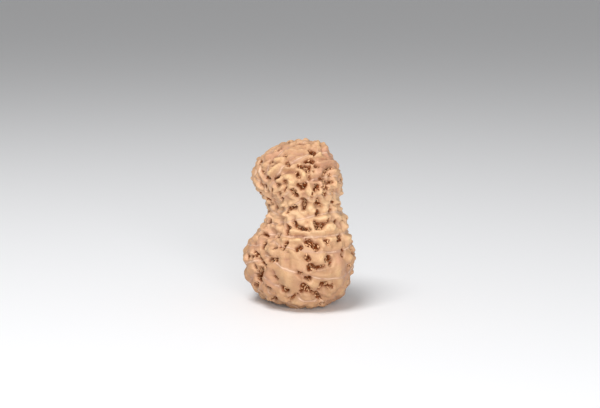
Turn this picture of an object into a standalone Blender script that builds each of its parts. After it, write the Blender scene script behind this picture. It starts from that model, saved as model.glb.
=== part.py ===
# Rudraksha bead: the dried stone of one fruit, a single woody piece that stands on end.
#
# The stone is a thick, slightly bent pillow with a waist on its left side. Its faces meet along
# thin suture lines, which run side by side over the stone from one pole to the other. On a stone
# this long each pole is drawn out into a furrow, and the lines spread from it like the hyperbolas
# of a pair of foci. Between the lines a raised net of rounded ridges stands round dark pits.
#
# +Z is up, +X is to the right and +Y points away from whoever faces the stone.

import math

import bmesh
import bpy
import numpy as np
from mathutils import Vector, noise

MM = 0.001

# Driving dimensions of the stone
HEIGHT = 31.65 * MM  # of the smooth stone; with its ridges the stone is 32.0 mm tall
WAIST_DROP = 1.45 * MM  # the middle of the furrows lies this much below half the height
BLUNT = 0.2  # how much flatter the crown and the foot are than a sphere's
POLE_TURN = math.radians(38)  # how far the left pole is turned towards the viewer
FURROW_SHARE = 0.52  # length of each pole's furrow as a share of the height
THROUGH_POLES = 0.93  # breadth from pole to pole, as a share of the stations' breadth
ACROSS_POLES = 1.07  # breadth square to that

# Stations: level from the foot at -1 to the crown at 1, half breadth and middle's place in X
STATIONS = (
    (-1.00, 12.5 * MM, 1.0 * MM),
    (-0.50, 11.5 * MM, 0.3 * MM),
    (-0.20, 10.4 * MM, 0.75 * MM),
    (0.10, 7.7 * MM, 1.8 * MM),
    (0.30, 7.3 * MM, 1.2 * MM),
    (0.52, 9.8 * MM, 0.25 * MM),
    (0.78, 10.8 * MM, 0.1 * MM),
    (1.00, 10.6 * MM, 1.8 * MM),
)
LEFT_HOLLOW = 0.13  # how far the furrow of the left pole sinks in, as a share of the half breadth
RIGHT_HOLLOW = 0.12
HOLLOW_REACH = 0.30

# The net of ridges: lumps with creases between them, over a slow swelling
NET_HEIGHT = 0.75 * MM
NET_ROUND = 0.32
NET_SIZES = np.array([1.9, 1.9, 1.25]) * MM
NET_SHIFT = 5.3
SWELLING = 0.50 * MM
SWELLING_SIZE = 2.3 * MM
SWELLING_SHIFT = 8.1
CALM_BELOW = 9 * MM  # the broad lower lobe is smoother
LIVELY_ABOVE = 15 * MM
CALM_SHARE = 0.15
CALM_FACING = 0.30  # only where it faces the viewer
AWAY_SHARE = 0.45  # the net of the lower lobe's hidden sides, as a share of the upper lobe's
LUMP_HEIGHT = 0.25 * MM
LUMP_SIZE = 1.6 * MM
LUMP_SHIFT = 6.6
BROADER = 1.8  # how much larger the lumps and the funnels round the pits are on the lower lobe

# The bold knobs and soft hollows of the seen face, near which the net is weaker
KNOB_HEIGHT = 0.90 * MM
KNOB_WHOLE = 0.78 * MM  # a knob of this half breadth has its full height, a narrower one less
KNOB_MEAN = 0.30  # about this share of the seen face is knobs
PLATEAU = 4  # how flat the knobs are on top
KNOB_NEAR = 0.6 * MM
KNOB_FAR = 1.4 * MM
CALM_KNOBS = 0.60
SQUARELY = 0.35
EDGE_KNOBS = 0.35  # share of their height at the outline, where they are seen from the side
HOLLOW_DEPTH = 0.75 * MM
READ_OFF_FROM = -0.30  # the net starts to give way where the surface faces the viewer this much
READ_OFF_WHOLLY = 0.10
READ_OFF_SHARE = 0.50

# The faces, and the shallow valley and fine seam where two of them meet
FACES = 21
VALLEY_DEPTH = 0.24 * MM
VALLEY_REACH = 0.50 * MM
VALLEY_CALM = 0.70
LINE_HEIGHT = 0.03 * MM
LINE_REACH = 0.14 * MM
LINE_WANDER = 0.12

# The pits, with a rounded ridge round each
PIT_DEPTH = 1.05 * MM
PIT_WALL = 0.45 * MM  # how far inside its rim a pit is at full depth
RIDGE_HEIGHT = 0.42 * MM
RIDGE_REACH = 0.35 * MM
RAGGED = 0.08 * MM  # how much a pit's rim wanders
RAGGED_SIZE = 0.9 * MM
RAGGED_SHIFT = 3.7
BLEND = 0.14 * MM  # how softly neighbouring pits run together
GAP_LIMITS = (-1 * MM, 4 * MM)

# Sight of the seen face: the photograph's places are in its pixels
PIXEL = 0.1945 * MM
SIGHT_CENTRE = (300, 204)
SIGHT_AIM = (0.2 * MM, 0.0, 19.55 * MM)
SIGHT_DISTANCE = 275 * MM
SIGHT_ELEVATION = math.radians(10)

# Where the suture lines cross the middle of the seen face, from the crown down
LINE_COLUMN = 312
LINE_ROWS = (155, 181, 197.5, 216.5, 237, 252, 276, 299)

# The seen face's pits, each a short stroke: x and y of both its ends, and its width
SEEN_PITS = (
    # crown
    (296, 147, 298, 147, 3.9),
    (302.5, 144.5, 304, 145.5, 4.9),
    (308, 144.5, 309.5, 145.5, 3.4),
    (313, 144, 315, 145, 3.4),
    (280.5, 150, 282, 151.5, 4.5),
    (285.8, 156.5, 286.8, 157, 5.5),
    (313.5, 151, 315, 154.5, 5.5),
    (273, 162, 275, 162, 3.9),
    (289.5, 163.5, 292, 166, 3.7),
    (277.5, 151.5, 278.5, 152, 2.5),
    # second face, with its deep star of pits
    (275, 169, 278.5, 166, 3.9),
    (276.8, 178, 282.3, 177, 3.9),
    (299.5, 173, 301, 177.5, 3.5),
    (268.5, 178, 270, 179.5, 4.5),
    (271, 176, 271.5, 177.5, 2.5),
    (262.5, 178, 263, 184.5, 3.1),
    (264.5, 169.5, 265.5, 172, 3.1),
    (307, 162, 309, 161, 2.8),
    (310.5, 161, 312.5, 162, 3.2),
    (313.5, 160.5, 316, 161.5, 3.2),
    (315.5, 163, 315, 164.5, 2.4),
    (301.8, 166.5, 302.5, 168, 3.1),
    (304.5, 167, 305.5, 168.5, 3.2),
    (307, 165.5, 308.5, 168, 3),
    (309, 170.5, 311, 172.5, 3.2),
    (311.5, 166, 312, 170, 2.4),
    (314.5, 171.5, 315.5, 173.5, 2.2),
    (317, 166, 319.5, 167.5, 3.8),
    (311.5, 176, 311.8, 179.5, 2.7),
    (334, 168.5, 330, 169.5, 3.5),
    (328.5, 170.5, 325.5, 174.5, 3.7),
    (331, 175, 332, 175.5, 2.7),
    (323.5, 178, 326, 178.5, 3.3),
    (339.5, 165, 340.5, 167, 3.5),
    (341, 181.5, 342, 182.5, 2.9),
    # third face
    (287.5, 182, 289.5, 182, 4.3),
    (278, 184.5, 280, 185, 3.3),
    (289, 187, 287, 190.5, 2.7),
    (265, 185.5, 266, 187, 2.3),
    (268, 185.5, 269, 187, 2.3),
    (301, 185, 304, 188.5, 3.9),
    (304.5, 188.5, 308, 184.5, 3.9),
    (303.5, 184.5, 305, 186, 3.3),
    (296, 190, 298.5, 195, 5.5),
    (293.5, 190, 294.5, 192, 2.5),
    (315, 192, 319, 187, 4.3),
    (314, 195.5, 314.5, 196.5, 2.7),
    (327, 182.5, 328.5, 183, 3.7),
    (328, 187, 329.5, 189.5, 3.3),
    (325.8, 187.5, 326.5, 189, 2.7),
    (325.5, 192.5, 328, 194.5, 4.9),
    (335, 194, 337, 190, 5.1),
    (332, 181.5, 334, 182.5, 2.7),
    (282, 193, 283, 196, 3.9),
    (263, 193, 265, 195.5, 4.9),
    # fourth face, at the waist
    (270.5, 197.5, 272, 198.5, 3.5),
    (274, 203, 275, 203.5, 3.1),
    (270.5, 205.5, 271.8, 203.5, 3.1),
    (276, 200.5, 276.5, 201.5, 2.5),
    (305, 200.3, 307, 200.6, 3.5),
    (308, 202.5, 307, 205, 4.1),
    (305.5, 205, 306, 206, 3.1),
    (306.3, 207.5, 306.3, 208.8, 2.9),
    (318, 203.8, 322.5, 204.5, 3.7),
    (320, 200.5, 320.5, 202, 2.7),
    (332.5, 202.5, 335, 202.5, 2.5),
    (332.3, 206, 332.8, 206.3, 2.1),
    (332, 211, 333.5, 209.5, 3.5),
    (319.5, 211.5, 320, 213.5, 3.7),
    (298, 207, 293.5, 208.5, 3.3),
    (293, 209, 291.5, 212.5, 2.9),
    (279.5, 208, 280.5, 209.5, 2.9),
    (271, 210.5, 272, 213, 3.3),
    (284.5, 198, 284.7, 199.5, 2.5),
    # fifth face
    (296.5, 222.5, 298, 225, 3.7),
    (298.5, 225.5, 301.5, 227.2, 3.7),
    (302, 227.5, 305, 228, 3.5),
    (306, 228.5, 309.5, 229, 4.3),
    (311.5, 229.5, 312.5, 230.2, 3.3),
    (317, 222, 319.5, 227.5, 3.7),
    (320, 228, 323, 228.5, 3.1),
    (320, 224, 326, 224, 2.9),
    (325.5, 225, 324.2, 228, 2.7),
    (326.5, 223.5, 330.8, 219.8, 2.5),
    (288.8, 226, 291.3, 228, 4.1),
    (289, 230.5, 289.5, 233, 3.1),
    (338, 223, 339.5, 221, 3.7),
    (340, 225, 341.5, 226.8, 3.1),
    (271.5, 222.5, 273.5, 221.3, 3.3),
    (262, 238, 266, 234, 2.9),
    (266.8, 234, 271, 236, 2.5),
    # sixth face
    (280.5, 238, 282.5, 235.5, 4.5),
    (288, 244.5, 290.5, 243, 3.9),
    (300, 249.5, 302, 248, 5.5),
    (308.5, 241, 311, 243, 4.5),
    (311, 242.5, 319, 247, 7.9),
    (327.5, 241.5, 328.5, 243, 3.9),
    (340, 240, 342.5, 237, 5.7),
    (283, 247, 286, 249, 2.9),
    (266.5, 247.5, 267.5, 244.5, 4.9),
    (277, 250, 279, 249.5, 3.5),
    # seventh face
    (271.5, 258.5, 274, 257, 3.1),
    (272, 261, 275, 260, 3.5),
    (275.5, 259.5, 279, 259.5, 3.7),
    (309.5, 256.5, 311, 259.5, 4.9),
    (329, 259, 331, 257.5, 4.5),
    (331.5, 258, 334, 260.5, 4.5),
    (334, 262, 332, 265, 3.1),
    (311.5, 268, 313, 266, 5.3),
    (314, 265.5, 316.5, 267, 3.9),
    (320, 268, 322.5, 267.5, 4.3),
    (323.5, 266.5, 325.5, 266, 3.3),
    (344.5, 256, 345.5, 250, 3.5),
    # round the furrow of the left pole
    (259, 252.5, 262, 255, 4.3),
    (255, 257, 261, 255.5, 3.5),
    (262, 257, 264, 259, 3.9),
    (266, 261.5, 267, 262, 4.7),
    (269, 264, 271, 266, 4.1),
    (258, 266, 259, 268, 3.3),
    (264, 269, 268, 269, 4.9),
    (262, 272, 265, 271, 3.7),
    (260.5, 276, 262.5, 278.5, 5.7),
    (265, 275, 264.5, 278, 4.7),
    # eighth face and foot
    (308, 278.5, 312, 278.5, 4.3),
    (302, 273.5, 304, 273.5, 3.3),
    (304.5, 287.5, 306, 286, 5.3),
    (306, 286, 309, 288, 5.5),
    (303, 292, 306, 291, 4.3),
    (308, 291, 315, 292, 3.9),
    (318, 293, 320, 296, 5.3),
    (321, 298, 322.5, 299, 4.5),
    (321, 288.5, 324, 285, 4.9),
    (324, 283.5, 328, 283, 4.3),
    (328, 285, 331, 286, 5.3),
    (331, 287, 333.5, 286, 4.5),
    (293, 297, 299, 295, 3.7),
    (284, 287.5, 288, 287, 4.3),
    (287, 290.5, 290.5, 290, 5.1),
    (269.5, 285, 273, 287, 4.9),
    (276.5, 277, 278.5, 278, 3.3),
    (264, 293, 267, 294, 3.7),
    (257, 287, 258.5, 287.5, 3.5),
)

# The seen face's boldest knobs, written the same way
SEEN_KNOBS = (
    # crown and upper lobe
    (286, 141, 287, 142, 8),
    (291, 142, 303, 141.8, 4.5),
    (307, 140, 308, 140.3, 7),
    (317.5, 143, 318.5, 147, 7.5),
    (326, 148, 327, 152, 8),
    (284, 143, 286, 147, 4),
    (286, 147, 291, 149, 4),
    (291, 149, 300, 148.5, 4),
    (300, 148.5, 306, 147.2, 4),
    (306, 147.2, 312, 147.2, 4),
    (284, 152.5, 292, 152.5, 4.5),
    (292, 152.5, 308, 151.5, 4.5),
    (320.5, 150, 321.5, 156, 6.5),
    (300, 158.3, 309, 157, 4.5),
    (309, 157, 313, 158.5, 4.5),
    (318, 156.5, 327, 159, 4.5),
    (270, 158.5, 276, 156, 4.5),
    (276, 156, 283, 154, 4.5),
    (272, 153.5, 279, 149, 4.5),
    (264, 161, 269, 158.5, 4.5),
    (280, 161.5, 287, 162, 6),
    (274, 173, 278, 169.3, 5.5),
    (278, 169.3, 283, 166.5, 5.5),
    (283, 166.5, 288, 167.8, 5.5),
    (288, 167.8, 296, 168, 5.5),
    (296, 168, 301, 165, 5.5),
    (293, 162, 297, 159.5, 4),
    (301, 170.5, 305, 173.5, 5.5),
    (305, 173.5, 306.5, 178, 5.5),
    (281, 179.8, 287, 177.7, 5.5),
    (287, 177.7, 293, 176.2, 5.5),
    (293, 176.2, 298, 179.5, 5.5),
    (279, 182, 287, 180, 3.5),
    (291, 181.5, 297, 182, 4.5),
    (315.5, 175, 321, 172, 8),
    (313.3, 166.3, 314, 166.8, 4),
    (320, 163.5, 328, 163, 5.5),
    (328, 163, 336, 164.5, 5.5),
    (334.5, 173, 337, 176, 8),
    (335.5, 181, 337, 187, 6),
    (264.5, 175, 266.5, 182, 3),
    (279, 189.5, 286, 187, 4.5),
    (293, 186, 297, 187, 4.5),
    (302, 191, 303, 195, 4.5),
    (309, 184, 312, 192, 7),
    (321.5, 184, 321.5, 192.5, 5),
    (330.5, 186, 333, 186, 4.5),
    (312, 182.7, 322, 182.7, 3.5),
    (270, 189.5, 277, 191, 6),
    (285, 196, 288, 193, 5),
    # waist
    (294, 203, 302, 202.5, 6.5),
    (311, 200.5, 317, 201, 3.5),
    (313, 206, 315, 211, 8),
    (325, 201, 328, 201.5, 5),
    (326, 207, 326.5, 211, 8),
    (335, 201.3, 338, 202, 4),
    (336, 209, 337, 211.5, 6.5),
    (342, 206, 344, 207, 7),
    (294, 212.3, 299, 213, 6),
    (283, 211.5, 290, 213, 6),
    (303, 212.5, 307, 213, 4.5),
    (346, 216, 347.5, 218.5, 7),
    (302, 218, 305, 220.5, 8),
    (303, 222, 304, 222.5, 6),
    (320, 218, 330, 217.5, 6.5),
    (339, 217, 341, 218.5, 6),
    (313.5, 223, 316, 229, 5.5),
    (330, 228, 333, 228, 9),
    (278, 224, 283, 229, 9),
    (345, 223, 346, 227, 6),
    (283, 203, 288, 203, 5.5),
    # lower lobe
    (295, 232.5, 324, 233.5, 6.5),
    (286, 237, 288, 240, 6.5),
    (294, 241, 303, 240, 6),
    (323, 240, 325, 246, 5.5),
    (331, 240, 335, 238, 7),
    (272, 250, 277, 253, 6.5),
    (348, 240, 350, 246, 7),
    (273, 243, 276, 245, 6),
    (350, 259, 351, 264, 9),
    (350, 276, 351, 278, 6),
    (314, 282, 318, 284, 8),
    (326, 292, 329, 293, 6.5),
    (298, 299, 312, 298, 8),
    (283, 295, 288, 297, 7),
    (340, 280, 344, 283, 10),
    (342, 289, 344, 293, 11),
    (270, 291, 276, 293, 6),
)

# Soft hollows between them
SEEN_HOLLOWS = (
    (277.5, 176.5, 284, 172, 3.5),
    (284, 172, 296, 172.3, 3.5),
    (290, 144.5, 300, 145.5, 3.5),
    (300, 145.5, 313, 144.5, 3.5),
    (253, 166, 253, 169, 8),
    (277, 157.5, 284, 158, 2.5),
    (290, 161, 297, 159, 2.5),
    (311, 201.5, 318, 203.5, 2.5),
    (327, 165, 335, 166, 2.5),
    (303, 225, 311, 223, 4),
    (255, 238, 258, 245, 4),
    (289.5, 255, 290.5, 266, 7.5),
    (275.5, 273, 277, 278, 6.5),
    (259, 259, 262, 262, 4),
    (262, 236, 270, 234, 3),
    (292, 300, 302, 302, 3),
    (298, 236, 304, 236.5, 3.5),
    (327, 251, 333, 252, 4),
    (313, 272, 330, 271, 3.5),
    (300, 271, 304, 277, 4),
)

# Pits of the sides and back, which follow a rule along every face
HIDDEN_SEED = 19
HIDDEN_STEP = 1.75 * MM
HIDDEN_SPREAD = (0.75, 1.3)  # range of the steps
HIDDEN_START = (0.1, 0.9)  # range of the first step
HIDDEN_LENGTHS = (0.1 * MM, 1.8 * MM)
HIDDEN_WIDTHS = (0.6 * MM, 1.2 * MM)
HIDDEN_ROWS = (0.32, 0.68)  # the two rows of a face, as shares of its breadth
ROW_WANDER = 0.09
HIDDEN_FACING = 0.42  # the rule starts where the surface turns away from the viewer this much
APART = 1.5 * MM  # and keeps this far from the seen pits

# Mesh
TURN_STEPS = 400
CROSS_STEPS = 150
TRIANGLES = 11800
NUDGE = 1e-4
TINY = 1e-12
WAY_POINTS = 300  # of a curve whose length is measured
CROSS_ENDS = (0.02, 0.98)  # the pits stop short of the furrows
FLAT_ENOUGH = 0.01 * MM  # a foot's point this close to the floor lies on it
BARK = (0.66, 0.42, 0.24, 1.0)
BARK_ROUGHNESS = 0.62


def clear_scene():
    for obj in list(bpy.data.objects):
        bpy.data.objects.remove(obj, do_unlink=True)


def smooth_through(levels, values, at):
    """Values of a smooth curve through the stations; its slopes come from the neighbouring ones."""
    slopes = np.gradient(values, levels)
    step = np.clip(np.searchsorted(levels, at) - 1, 0, len(levels) - 2)
    width = levels[step + 1] - levels[step]
    t = (at - levels[step]) / width
    rise = t * t * (3 - 2 * t)
    leave = t * (1 - t) ** 2 * width * slopes[step]
    arrive = t * t * (t - 1) * width * slopes[step + 1]
    return values[step] * (1 - rise) + values[step + 1] * rise + leave + arrive


def body_point(turn, cross):
    """A point of the smooth stone. turn is the angle round it, from the crown over the front;
    cross runs over it along a suture line, from 0 in the left furrow to 1 in the right one."""
    spread = np.sin(math.pi * cross)
    widest = math.atanh(math.sqrt(1 - FURROW_SHARE**2))
    level = FURROW_SHARE * np.cosh(widest * spread) * np.cos(turn)
    side = np.sinh(widest * spread) / math.sinh(widest) * np.sin(turn)
    pole = np.sqrt(np.clip(1 - level**2 - side**2, 0, None)) * np.where(cross < 0.5, 1, -1)
    hollow = np.where(cross < 0.5, LEFT_HOLLOW, RIGHT_HOLLOW) * np.exp(-((spread / HOLLOW_REACH) ** 2))
    pole = pole * (1 - hollow)

    levels, breadths, middles = np.array(STATIONS).T
    breadth = smooth_through(levels, breadths, level)
    through = THROUGH_POLES * breadth * pole
    across = ACROSS_POLES * breadth * side
    x = smooth_through(levels, middles, level) - math.cos(POLE_TURN) * through
    x = x + math.sin(POLE_TURN) * across
    y = -math.sin(POLE_TURN) * through - math.cos(POLE_TURN) * across
    blunt = level * (1 + BLUNT - BLUNT * level**2)
    z = HEIGHT / 2 * (1 + blunt) - WAIST_DROP * (1 - level**2)
    return np.stack([x, y, z], axis=-1)


def body_grid():
    """Places and outward directions of the smooth stone, row by row from one furrow to the other."""
    turns = 2 * math.pi * np.arange(TURN_STEPS) / TURN_STEPS
    crosses = np.linspace(0, 1, CROSS_STEPS + 1)
    turn, cross = np.meshgrid(turns, np.clip(crosses, 3 * NUDGE, 1 - 3 * NUDGE))
    along = body_point(turn + NUDGE, cross) - body_point(turn - NUDGE, cross)
    over = body_point(turn, cross + NUDGE) - body_point(turn, cross - NUDGE)
    outward = np.cross(along, over)
    outward /= np.linalg.norm(outward, axis=-1, keepdims=True) + TINY
    turn, cross = np.meshgrid(turns, crosses)
    return turn, body_point(turn, cross), outward, np.linalg.norm(along, axis=-1) / (2 * NUDGE)


def seen(points):
    """Places in the photograph, in its pixels."""
    ahead = np.array([0, math.cos(SIGHT_ELEVATION), -math.sin(SIGHT_ELEVATION)])
    above = np.array([0, math.sin(SIGHT_ELEVATION), math.cos(SIGHT_ELEVATION)])
    from_aim = points - np.array(SIGHT_AIM)
    nearing = SIGHT_DISTANCE / (SIGHT_DISTANCE + from_aim @ ahead) / PIXEL
    return np.stack(
        [SIGHT_CENTRE[0] + from_aim[..., 0] * nearing, SIGHT_CENTRE[1] - from_aim @ above * nearing],
        axis=-1,
    )


def facing(outward):
    """How squarely a piece of the surface faces the viewer, 1 at most."""
    return -outward @ np.array([0, math.cos(SIGHT_ELEVATION), -math.sin(SIGHT_ELEVATION)])


def nearest(places, outward, x, y):
    """Index of the place that shows at a pixel of the photograph."""
    pixels = seen(places)
    gap = np.hypot(pixels[..., 0] - x, pixels[..., 1] - y)
    return np.where(facing(outward) < 0, np.inf, gap).argmin()


def way_along(points):
    """How far each point of a curve is from its start, along the curve."""
    return np.append(0, np.cumsum(np.linalg.norm(np.diff(points, axis=0), axis=1)))


def suture_turns(turn, places, outward):
    """The turn of each suture line: the seen ones where they are seen, the others evenly apart."""
    seen_turns = [turn.flat[nearest(places, outward, LINE_COLUMN, row)] for row in LINE_ROWS]
    unseen = np.linspace(seen_turns[-1], seen_turns[0] + 2 * math.pi, WAY_POINTS)
    way = way_along(body_point(unseen, np.full(WAY_POINTS, 0.5)))
    rest = FACES - len(LINE_ROWS)
    wander = np.random.default_rng(HIDDEN_SEED).uniform(-LINE_WANDER, LINE_WANDER, rest)
    others = np.interp(way[-1] * (np.arange(1, rest + 1) + wander) / (rest + 1), way, unseen)
    return np.sort(np.append(seen_turns, others) % (2 * math.pi))


def line_gap(turn, stretch, lines):
    """How far each place is from the nearest suture line."""
    offset = np.abs((turn[..., None] - lines + math.pi) % (2 * math.pi) - math.pi)
    return offset.min(axis=-1) * stretch


def strokes_on(places, outward, marks):
    """Marks of the photograph as strokes on the surface: both ends and half the width."""
    strokes = []
    for x0, y0, x1, y1, width in marks:
        start = places.reshape(-1, 3)[nearest(places, outward, x0, y0)]
        end = places.reshape(-1, 3)[nearest(places, outward, x1, y1)]
        strokes.append((start, end, width * PIXEL / 2))
    return strokes


def hidden_strokes(lines, seen_strokes):
    """Pits in two staggered rows along every face, wherever the photograph doesn't show it well."""
    draw = np.random.default_rng(HIDDEN_SEED)
    known = np.array([(start + end) / 2 for start, end, _ in seen_strokes])
    strokes = []
    for first, last in zip(lines, np.append(lines[1:], lines[0] + 2 * math.pi), strict=True):
        crosses = np.linspace(*CROSS_ENDS, WAY_POINTS)
        lengths = way_along(body_point(np.full(WAY_POINTS, (first + last) / 2), crosses))
        place = HIDDEN_STEP * draw.uniform(*HIDDEN_START)
        row = int(draw.random() < 0.5)
        while place < lengths[-1]:
            cross = np.interp(place, lengths, crosses)
            share = HIDDEN_ROWS[row] + draw.uniform(-ROW_WANDER, ROW_WANDER)
            turn = first + (last - first) * share
            lean = draw.uniform(0, math.pi)
            half = draw.uniform(*HIDDEN_LENGTHS) / 2
            width = draw.uniform(*HIDDEN_WIDTHS)
            east = body_point(turn + NUDGE, cross) - body_point(turn, cross)
            north = body_point(turn, cross + NUDGE) - body_point(turn, cross)
            east = east / np.linalg.norm(east)
            north = north / np.linalg.norm(north)
            middle_place = body_point(turn, cross)
            reach = half * (math.cos(lean) * east + math.sin(lean) * north)
            clear = np.linalg.norm(known - middle_place, axis=1).min() > APART
            if clear and facing(np.cross(east, north)) < HIDDEN_FACING:
                strokes.append((middle_place - reach, middle_place + reach, width / 2))
            place += HIDDEN_STEP * draw.uniform(*HIDDEN_SPREAD)
            row = 1 - row
    return strokes


def stroke_distance(places, stroke):
    """Distance of every place to the middle line of a stroke."""
    start, end, _ = stroke
    line = end - start
    share = np.clip((places - start) @ line / max(line @ line, TINY), 0, 1)
    return np.linalg.norm(places - start - share[:, None] * line, axis=1)


def pit_gap(places, strokes):
    """Distance to the rim of the nearest pit, negative inside it, softly joined between pits."""
    nearness = np.zeros(len(places))
    for stroke in strokes:
        gap = stroke_distance(places, stroke) - stroke[2]
        nearness += np.exp(-np.clip(gap, *GAP_LIMITS) / BLEND)
    return -BLEND * np.log(nearness + TINY)


def rounded(places, strokes):
    """Up to 1 on the middle line of every stroke, flat on top and falling off round half its width."""
    heights = []
    for stroke in strokes:
        whole = min(1, stroke[2] / KNOB_WHOLE)
        heights.append(whole * np.exp(-((stroke_distance(places, stroke) / stroke[2]) ** PLATEAU)))
    return np.max(heights, axis=0)


def bell(distance, reach):
    """1 at no distance, falling off like a bell within the reach."""
    return np.exp(-((distance / reach) ** 2))


def rounding(distance, reach):
    """0 at no distance, rising to 1 with a round shoulder."""
    return 1 - np.exp(-distance / reach)


def grain(places, size, shift):
    """Smooth noise from -1 to 1 with lumps about this size."""
    offset = Vector((shift, 2 * shift, 3 * shift))
    return np.array([noise.noise(Vector(p) + offset) for p in places / size])


def between(value, low, high):
    """0 below the low value, 1 above the high one, straight between them; high may be the lesser."""
    return np.clip((value - low) / (high - low), 0, 1)


def net_height(places, outward, rise, valley):
    """Height of the net of ridges, which gives way to the bold knobs where those are seen."""
    knobs = strokes_on(places, outward, SEEN_KNOBS)
    knob_gap = np.min([stroke_distance(places, stroke) - stroke[2] for stroke in knobs], axis=0)
    read_off = between(facing(outward), READ_OFF_FROM, READ_OFF_WHOLLY)
    read_off = read_off * between(knob_gap, KNOB_FAR, KNOB_NEAR)

    squarely = between(facing(outward), 0, SQUARELY)
    bold = rounded(places, knobs) * (EDGE_KNOBS + (1 - EDGE_KNOBS) * squarely)
    bold = (bold - KNOB_MEAN * read_off * squarely) * (CALM_KNOBS + (1 - CALM_KNOBS) * rise)
    bold = bold * (1 - VALLEY_CALM * valley)
    wave = rounding(np.abs(grain(places, NET_SIZES, NET_SHIFT)), NET_ROUND) - 0.5
    turned_away = between(facing(outward), CALM_FACING, 0)
    lively = CALM_SHARE + (1 - CALM_SHARE) * np.maximum(rise, AWAY_SHARE * turned_away)
    lively = lively * (1 - (1 - READ_OFF_SHARE) * read_off) * (1 - VALLEY_CALM * valley)
    return KNOB_HEIGHT * bold + NET_HEIGHT * wave * lively


def relief(places, outward, line_gaps, pit_gaps):
    """Height of the surface over the smooth stone."""
    rise = between(places[:, 2], CALM_BELOW, LIVELY_ABOVE)
    rise = rise * rise * (3 - 2 * rise)
    valley = bell(line_gaps, VALLEY_REACH)
    seam = LINE_HEIGHT * bell(line_gaps, LINE_REACH) - VALLEY_DEPTH * valley
    net = net_height(places, outward, rise, valley)
    hollows = HOLLOW_DEPTH * rounded(places, strokes_on(places, outward, SEEN_HOLLOWS))
    broad = BROADER + (1 - BROADER) * rise
    lumps = LUMP_HEIGHT * broad * grain(places, LUMP_SIZE, LUMP_SHIFT)
    swell = SWELLING * grain(places, SWELLING_SIZE, SWELLING_SHIFT)

    rim = pit_gaps + RAGGED * grain(places, RAGGED_SIZE, RAGGED_SHIFT)
    ridge = RIDGE_HEIGHT * broad * rounding(np.maximum(rim, 0), RIDGE_REACH * broad)
    inside = between(-rim, 0, PIT_WALL)
    pit = PIT_DEPTH * inside * inside * (3 - 2 * inside)
    return net + lumps + swell + ridge + seam - hollows - pit


def bead_mesh():
    turn, places, outward, stretch = body_grid()
    lines = suture_turns(turn, places, outward)
    strokes = strokes_on(places, outward, SEEN_PITS)
    strokes += hidden_strokes(lines, strokes)
    flat = places.reshape(-1, 3)
    flat_outward = outward.reshape(-1, 3)
    line_gaps = line_gap(turn, stretch, lines).ravel()
    height = relief(flat, flat_outward, line_gaps, pit_gap(flat, strokes))
    points = flat + height[:, None] * flat_outward

    # The lowest ridges are worn down to a small flat foot.
    points[:, 2] = np.maximum(points[:, 2], 0)
    points[:, :2] -= (points[:, :2].max(axis=0) + points[:, :2].min(axis=0)) / 2

    # Both sides of a furrow share its points, so the surface closes like a zip.
    index = np.arange(len(points)).reshape(CROSS_STEPS + 1, TURN_STEPS)
    for row in (0, -1):
        column = np.arange(TURN_STEPS)
        index[row] = index[row][np.minimum(column, TURN_STEPS - column) % TURN_STEPS]
    after = np.roll(index, -1, axis=1)
    quads = np.stack([index[:-1], after[:-1], after[1:], index[1:]], axis=-1).reshape(-1, 4)
    used, quads = np.unique(quads, return_inverse=True)
    mesh = bpy.data.meshes.new("rudraksha_bead")
    mesh.from_pydata(points[used].tolist(), [], quads.reshape(-1, 4).tolist())
    return mesh


def thinned(obj):
    """The object's mesh with its triangles spent where the relief is sharpest."""
    reduce = obj.modifiers.new("fewer_faces", "DECIMATE")
    reduce.ratio = TRIANGLES / (2 * len(obj.data.polygons))
    reduce.use_collapse_triangulate = True
    graph = bpy.context.evaluated_depsgraph_get()
    mesh = bpy.data.meshes.new_from_object(obj.evaluated_get(graph))
    obj.modifiers.clear()
    drop_flaps(mesh)
    for vertex in mesh.vertices:
        if vertex.co.z < FLAT_ENOUGH:
            vertex.co.z = 0
    return mesh


def drop_flaps(mesh):
    """Remove a stray triangle that hangs on the surface by one edge."""
    surface = bmesh.new()
    surface.from_mesh(mesh)
    flaps = [face for face in surface.faces if sum(edge.is_boundary for edge in face.edges) > 1]
    bmesh.ops.delete(surface, geom=flaps, context="FACES")
    surface.to_mesh(mesh)
    surface.free()


def bark_material():
    material = bpy.data.materials.new("bark")
    material.use_nodes = True
    shader = material.node_tree.nodes["Principled BSDF"]
    shader.inputs["Base Color"].default_value = BARK
    shader.inputs["Roughness"].default_value = BARK_ROUGHNESS
    return material


def main():
    clear_scene()
    bead = bpy.data.objects.new("rudraksha_bead", bead_mesh())
    bpy.context.scene.collection.objects.link(bead)
    bead.data = thinned(bead)
    bead.data.materials.append(bark_material())
    bead.data.shade_smooth()


main()
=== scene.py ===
# %% [markdown]
# # A rudraksha bead
#
# The bead is the dried stone of one fruit, a single woody piece. This lesson gives it its looks: a
# smooth stone is shaped by a formula, a Geometry Nodes tree raises the net of ridges and sinks the
# pits, and the bark's colours read what that tree stored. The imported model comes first, because the
# stone takes its size and place from it.

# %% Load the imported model
import math

import bpy
import numpy as np
from mathutils import Matrix, Vector, noise


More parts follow.
